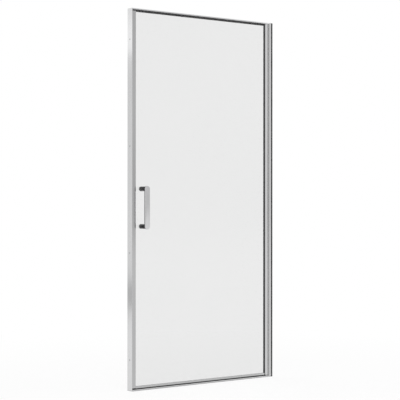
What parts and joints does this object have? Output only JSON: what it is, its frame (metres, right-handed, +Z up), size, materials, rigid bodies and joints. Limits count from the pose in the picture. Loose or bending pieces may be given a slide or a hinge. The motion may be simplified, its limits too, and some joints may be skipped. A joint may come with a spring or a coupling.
{
  "type": "pivot shower door",
  "caption": "Framed pivot shower door: clear glass leaf on a round pivot upright, slim metal frame, black edge seals and a flat bar handle.",
  "frame": {"origin": "on the shower tray, under the middle of the frame's width and depth", "axes": "+X to the right seen from outside, towards the pivot; +Y into the shower; +Z up"},
  "size_m": [0.9, 0.0845, 1.85],
  "materials": {
    "polished_aluminium": "bright polished anodised",
    "handle_chrome": "chrome plated",
    "dark_post": "satin black",
    "pivot_steel": "machined",
    "screw_steel": "plain stainless",
    "magnet_strip": "grey flexible strip",
    "black_rubber": "satin black",
    "black_plastic": "satin black",
    "bearing_plastic": "natural white",
    "clear_washer": "translucent",
    "cap_chrome": "chromed plastic",
    "clear_glass": "clear toughened"
  },
  "bodies": {
    "frame": {"strike_wall_channel": "polished_aluminium", "strike_jamb": "polished_aluminium", "strike_magnet_strip": "magnet_strip", "pivot_wall_channel": "polished_aluminium", "pivot_jamb": "polished_aluminium", "pivot_jamb_seal": "black_rubber", "header_rail": "polished_aluminium", "threshold_rail": "polished_aluminium", "header_screws": "screw_steel", "threshold_screws": "screw_steel", "jamb_fixing_screws": "screw_steel", "jamb_screw_caps": "cap_chrome", "top_pivot_block": "pivot_steel", "bottom_pivot_block": "pivot_steel", "pivot_block_screws": "screw_steel", "top_pivot_pin": "pivot_steel", "bottom_pivot_pin": "pivot_steel", "thrust_washer": "bearing_plastic"},
    "door_leaf": {"glass_pane": "clear_glass", "pivot_stile": "polished_aluminium", "glazing_carrier": "black_plastic", "top_pivot_bush": "bearing_plastic", "bottom_pivot_bush": "bearing_plastic", "strike_stile": "polished_aluminium", "strike_glazing_gasket": "black_rubber", "strike_stile_top_cap": "black_plastic", "strike_stile_bottom_cap": "black_plastic", "leaf_magnet_strip": "magnet_strip", "top_edge_seal": "black_rubber", "bottom_rail": "polished_aluminium", "bottom_rail_gasket": "black_rubber", "drip_seal": "black_rubber", "handle_bar": "handle_chrome", "handle_posts": "dark_post", "handle_screws": "screw_steel", "handle_outer_washers": "clear_washer", "handle_inner_washers": "clear_washer", "handle_cover_caps": "cap_chrome"}
  },
  "joints": [
    {"name": "door_pivot", "type": "hinge", "parent": "frame", "child": "door_leaf", "pos_m": [0.412, -0.0085, 0], "axis": [0, 0, 1], "range_deg": [0, 100]}
  ]
}
